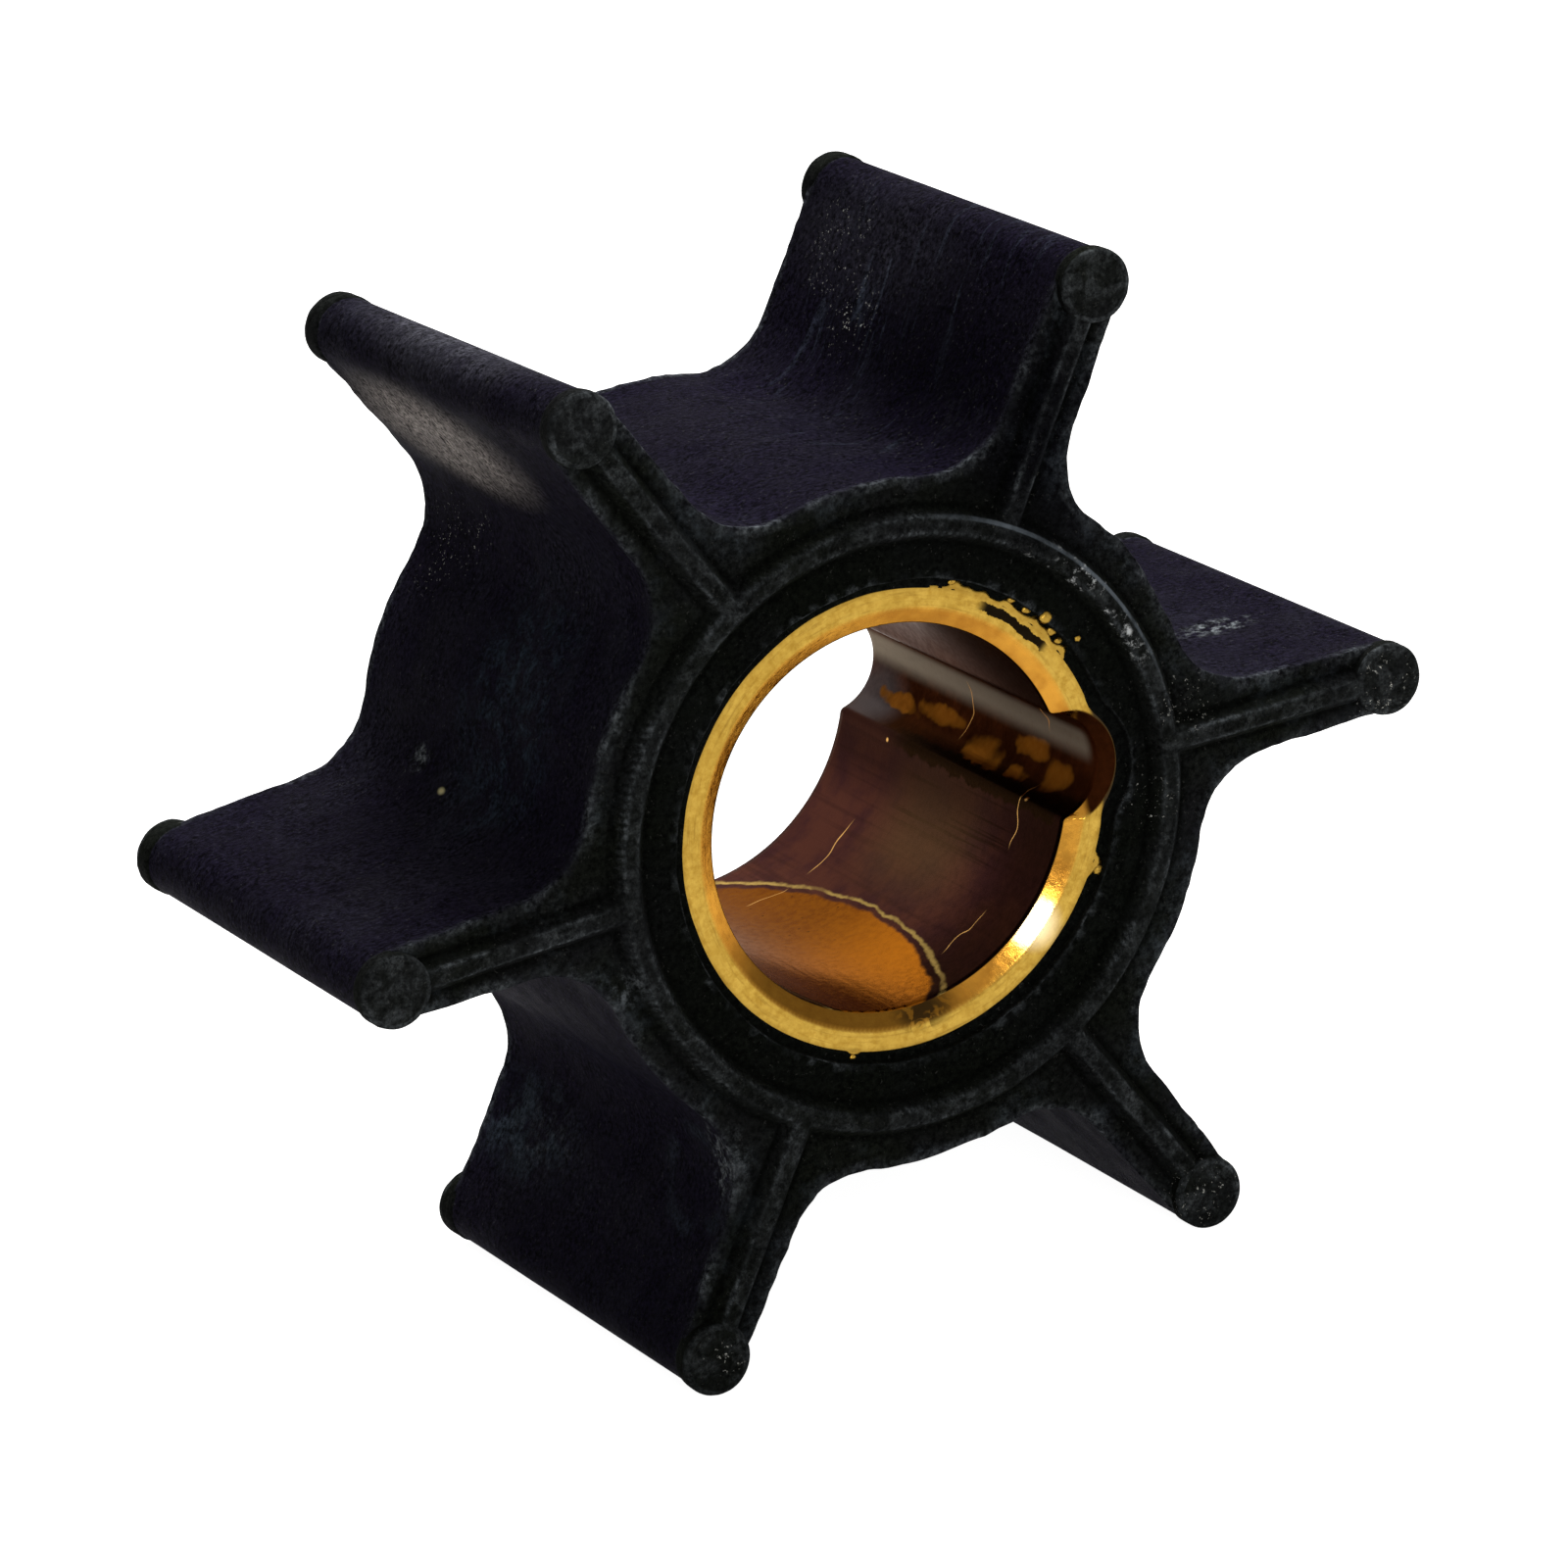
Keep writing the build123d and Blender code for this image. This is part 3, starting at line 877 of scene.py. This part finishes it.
def bore_colours(n, y, turn, broad, fine, lines):
    """The bore's wall: purple-brown tarnish, olive in the middle, and an amber patch. Returns its mask too."""
    wall = n.mix(n.step(broad, 0.35, 0.65), (0.078, 0.0255, 0.018), (0.045, 0.015, 0.0165))
    wall = n.mix(n.step(lines, 0.5, 0.7, 0, 0.35), wall, (0.024, 0.0088, 0.0088))
    wall = n.mix(n.step(y, -3.0, -8.5, 0, 0.75), wall, (0.0084, 0.0021, 0.0014))
    # Dark lines scored along the shaft, below the keyway
    scored = n.step(n.noise(1.0, 2.0, 0.5, 0.0, n.stretch(5.0, 0.07, 5.0)), 0.54, 0.62)
    scored = n.times(scored, n.about(turn, -0.52, 0.10, 0.24), n.about(y, -1.5, 3.5, 6.0))
    wall = n.mix(n.times(scored, 0.75), wall, (0.0042, 0.0014, 0.0014))
    middle = n.times(n.about(y, 0.0, 1.0, 6.0, 0.7), n.about(turn, -0.65, 0.1, 0.55))
    wall = n.mix(middle, wall, (0.093, 0.048, 0.021))
    wall = n.mix(n.step(turn, -0.80, -0.36, 0, 0.75), wall, (0.0077, 0.0028, 0.0028))
    # The amber patch is a lens round -100 degrees, outlined by a thin bright line
    swing = n.times(n.calc("WRAP", n.plus(turn, radians(100)), pi, -pi), BORE / 5.0)
    lens = n.vector("LENGTH", n.joined(swing, n.calc("DIVIDE", n.plus(y, 0.7), 11.2)))
    lens = n.plus(lens, n.uneven(0.12, 0.8, 3.0, 0.5))
    amber = n.mix(n.step(fine, 0.35, 0.7), (0.24, 0.074, 0.0064), (0.166, 0.046, 0.0046))
    amber = n.mix(n.patches(0.5, 0.75, 0.9, 3.0, 0.6, most=0.6), amber, (0.147, 0.037, 0.0037))
    amber = n.mix(n.step(n.cells(1.3), 0.05, 0.12, 0.8, 0), amber, (0.046, 0.0138, 0.0037))
    amber = n.mix(n.step(y, 3.0, -6.0, 0, 0.75), amber, (0.57, 0.175, 0.0092))
    inside_lens = n.step(lens, 0.93, 0.97, 1, 0)
    wall = n.mix(inside_lens, wall, amber)
    outline = n.times(n.band(lens, 1.00, 1.02, 1.03, 1.06), n.step(broad, 0.35, 0.5, 0.3, 0.9))
    return n.mix(outline, wall, (0.45, 0.3, 0.083)), inside_lens


def keyway_colours(n, x, y, z, broad, fine):
    """The keyway: a grey band near its top, which is a painted reflection, a chain of amber blotches below, dark
    red-brown elsewhere.
    """
    turn = n.calc("ARCTAN2", z, n.minus(x, KEY_X))
    key = n.mix(n.step(broad, 0.4, 0.6), (0.051, 0.012, 0.003), (0.027, 0.006, 0.0015))
    key = n.mix(n.step(turn, -0.70, -1.05, 0, 0.8), key, (0.012, 0.003, 0.0009))
    key = n.mix(n.times(n.near((9.6, 9.2, -1.9), 2.4, (1, 0.7, 1)), 0.6), key, (0.09, 0.081, 0.083))
    drifted = n.joined(n.plus(turn, n.uneven(0.40, 0.7, 2.0, 0.5)), n.plus(y, n.uneven(3.2, 0.6, 2.0, 0.5)))
    blotch = n.lowest(*(n.distance(drifted, (way, at, 0), (1 / wide, 1 / long, 1))
                        for at, way, long, wide in BLOTCHES))
    blotch = n.plus(n.times(blotch, blotch), n.uneven(1.0, 1.0, 2.0, 0.5))
    gold = n.mix(n.step(blotch, 0.1, 0.9), (0.25, 0.086, 0.008), (0.18, 0.064, 0.006))
    key = n.mix(n.step(blotch, 0.60, 1.35, 0.95, 0), key, gold)
    # Painted reflection: a pale grey band near the keyway's top, for the floor it mirrors behind the part
    painted_reflection_band = n.times(n.band(turn, -0.32, 0.05, 0.25, 0.5), n.step(y, -10.1, -9.2))
    return n.mix(n.times(painted_reflection_band, n.step(fine, 0.2, 0.6, 0.7, 1.0)), key, (0.24, 0.2, 0.15))


def brass_material():
    made, n, shader = material("brass_tarnished")
    mouth, face = n.named("mouth"), n.named("face")
    x, y, z = n.parts()
    flat = n.stretch(1, 0, 1)
    radius = n.vector("LENGTH", flat)
    turn = n.calc("ARCTAN2", z, x)
    broad, fine = n.noise(0.45, 3.0, 0.6), n.noise(3.0, 4.0, 0.65)
    lines = n.noise(1.0, 2.0, 0.5, 0.0, n.stretch(3.5, 0.10, 3.5))
    wall, in_amber = bore_colours(n, y, turn, broad, fine, lines)
    key = keyway_colours(n, x, y, z, broad, fine)
    inner = n.mix(n.step(radius, BORE + 0.12, BORE + 0.3), wall, key)
    # Black crust along the keyway's lower lip
    crust = n.plus(n.distance(flat, (8.42, 0, -2.42)), n.times(n.noise(1.6, 4.0, 0.7), 1.1))
    crust = n.times(n.step(crust, 1.00, 1.20, 1, 0), n.band(y, -9.8, -9.2, 3.5, 6.5))
    inner = n.mix(crust, inner, (0.006, 0.003, 0.0015))
    # Fine gold scratches: short arcs across the bore, two of them with a bright point, a painted glint
    wavy = n.plus(y, n.uneven(1.6, 0.6, 1.0, 0.5))
    marks = [n.times(n.about(wavy, at[1], 0.012, 0.05), n.step(n.distance(n.place, at), size * 0.6, size, 1, 0))
             for at, size in SCRATCHES]
    marks += [n.near(at, size) for at, size in GLINTS]
    inner = n.mix(n.times(n.highest(*marks), 0.9), inner, (0.93, 0.51, 0.15))
    # Bright face with turning marks and a duller rim, and the mouths' cones, in shade at the lower left
    outer = n.mix(n.step(fine, 0.3, 0.75), (0.44, 0.28, 0.049), (0.3, 0.17, 0.022))
    outer = n.mix(n.step(broad, 0.45, 0.7, 0, 0.5), outer, (0.36, 0.22, 0.034))
    around = n.noise(1.0, 4.0, 0.65, 0.0, n.joined(n.times(radius, 6.0), n.times(turn, 4.0)))
    outer = n.mix(n.step(around, 0.50, 0.70, 0, 0.55), outer, (0.204, 0.112, 0.0153))
    outer = n.mix(n.step(radius, 10.15, 10.42, 0, 0.40), outer, (0.187, 0.105, 0.0153))
    cone = n.mix(n.step(broad, 0.35, 0.65), (0.49, 0.224, 0.027), (0.32, 0.126, 0.0136))
    outer = n.mix(n.times(mouth, 0.9), outer, cone)
    shaded = n.times(mouth, n.band(turn, -2.90, -2.45, -1.45, -1.20))
    outer = n.mix(n.times(shaded, 0.92), outer, n.mix(fine, (0.085, 0.032, 0.0034), (0.145, 0.071, 0.0085)))
    # A pale, worn patch on the bore's mouth where the glint lamp's highlight falls: partly painted highlight, to
    # whiten it
    outer = n.mix(n.times(n.near((6.2, -10.5, -6.7), 1.5), 0.85), outer, (0.95, 0.78, 0.44))
    # The keyway's rim is brown, and the brass that closes it is thin and dark
    lean = n.distance(flat, (RIM_X, 0, 0))
    brown = n.times(n.step(lean, RIM_R + 0.10, RIM_R - 0.02), n.step(radius, 9.55, 9.9))
    outer = n.mix(brown, outer, n.mix(fine, (0.0102, 0.0026, 0.0007), (0.027, 0.0068, 0.0017)))
    closing = n.times(n.step(lean, RIM_R - 0.02, RIM_R + 0.04), n.step(radius, 10.3, 10.5))
    outer = n.mix(n.times(closing, n.about(turn, 0.0, 0.23, 0.29)), outer, (0.034, 0.022, 0.0102))
    # Old rubber on the near face: a ragged smear between 33 and 59 degrees, and a swirl below the bore
    ragged = n.plus(radius, n.uneven(0.6, 1.3, 4.0, 0.65))
    smear = n.times(n.band(turn, 0.58, 0.63, 0.96, 1.03), n.about(ragged, 10.02, 0.18, 0.22), n.step(y, -10.0, -10.5))
    swirl = n.patches(0.40, 0.52, 1.5, 2.0, 0.6, 1.0, most=0.85)
    stain = n.highest(smear, n.times(n.near((0.2, -10.5, -9.05), 1.5, (0.8, 1, 1.4)), swirl))
    outer = n.mix(stain, outer, (0.0102, 0.0068, 0.0034))
    rough_in = n.minus(n.step(fine, 0.3, 0.7, 0.28, 0.4), n.times(in_amber, 0.12))
    rough_out = n.minus(n.patches(0.3, 0.7, 2.0, 4.0, 0.6, least=0.26, most=0.42), n.times(mouth, 0.15))
    rough = n.plus(n.times(rough_in, n.minus(1.0, face)), n.times(rough_out, face))
    rough = n.plus(rough, n.times(n.highest(stain, shaded, brown), 0.35), clamp=True)
    tooled = n.noise(1.0, 2.0, 0.5, 0.0, n.joined(n.times(radius, 9.0), turn))
    height = n.times(tooled, face, n.minus(1.0, n.times(mouth, 0.7)))
    height = n.plus(n.plus(height, n.times(lines, 0.5)), n.times(fine, 0.7))
    n.surface(shader, n.mix(face, inner, outer), rough, n.normal(height, 0.22, 0.00006))
    shader.inputs["Metallic"].default_value = 1.0
    shader.inputs["Specular Tint"].default_value = (0.60, 0.54, 0.51, 1)
    return made


rubber = rubber_material()
brass = brass_material()
body = moulding()
bush = sleeve()
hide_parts("rubber_moulding")
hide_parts("brass_sleeve")
for piece, slot in ((body, "rubber"), (bush, "brass")):
    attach(piece, "root")


# ---- floor, light and camera
def mirrored(n):
    """1 for what the camera sees directly, in a mirror or through glass, and 0 for light on its way to things."""
    path = n.add("LightPath").outputs
    return n.highest(path["Is Camera Ray"], path["Is Glossy Ray"], path["Is Transmission Ray"])


def plain_floor():
    """A wide white square under the lowest blade tips, which looks white and takes the object's shadow."""
    low = min(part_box("rubber_moulding")[0].z, 0)
    size = 3.0
    mesh = bpy.data.meshes.new("floor")
    corners = [(-size, -size, low), (size, -size, low), (size, size, low), (-size, size, low)]
    mesh.from_pydata(corners, [], [(0, 1, 2, 3)])
    paint = bpy.data.materials.new("floor_white")
    n = emptied(paint)
    diffuse = n.add("BsdfDiffuse", Color=(0.54, 0.53, 0.52))
    glow = n.add("Emission", Color=(1, 1, 1), Strength=n.times(mirrored(n), 0.96))
    both = n.fill(n.add("AddShader"), diffuse.outputs[0], glow.outputs[0])
    n.add("OutputMaterial", Surface=both.outputs[0])
    mesh.materials.append(paint)
    linked("floor", mesh)


def world():
    """A dim studio, which looks white to the camera and in the brass."""
    made = bpy.data.worlds.new("studio")
    n = emptied(made)
    sky = n.add("Background", Color=(1, 1, 1), Strength=n.step(mirrored(n), 0, 1, 0.022, 1.0))
    n.add("OutputWorld", Surface=sky.outputs[0])
    scene.world = made


def lamp(name, place, target, size, power):
    data = bpy.data.lights.new(name, "AREA")
    data.shape, data.size, data.size_y = "RECTANGLE", size[0], size[1]
    data.energy = power
    made = linked(name, data)
    made.location = place
    made.rotation_euler = (Vector(target) - Vector(place)).to_track_quat("-Z", "Y").to_euler()


plain_floor()
world()
lamp("overhead", (0.22, 0.18, 0.55), (0, 0, 0), (0.35, 0.35), 5.9)
lamp("side_left", (-0.55, -0.15, 0.35), (0, 0, 0), (0.25, 0.3), 0.18)
lamp("glint", (-0.100, -0.418, 0.151), (0.006, -0.0105, -0.0067), (0.09, 0.09), 0.48)

camera = linked("camera", bpy.data.cameras.new("camera"))
camera.data.sensor_width = 36.0
camera.data.lens = 180.60
camera.data.clip_start, camera.data.clip_end = 0.01, 20.0
turned = Matrix(((0.87432, 0.26881, -0.40411), (-0.46743, 0.24221, -0.85020), (-0.13066, 0.93224, 0.33742)))
camera.matrix_world = Matrix.Translation((-0.141764, -0.298395, 0.117318)) @ turned.to_4x4()
scene.camera = camera
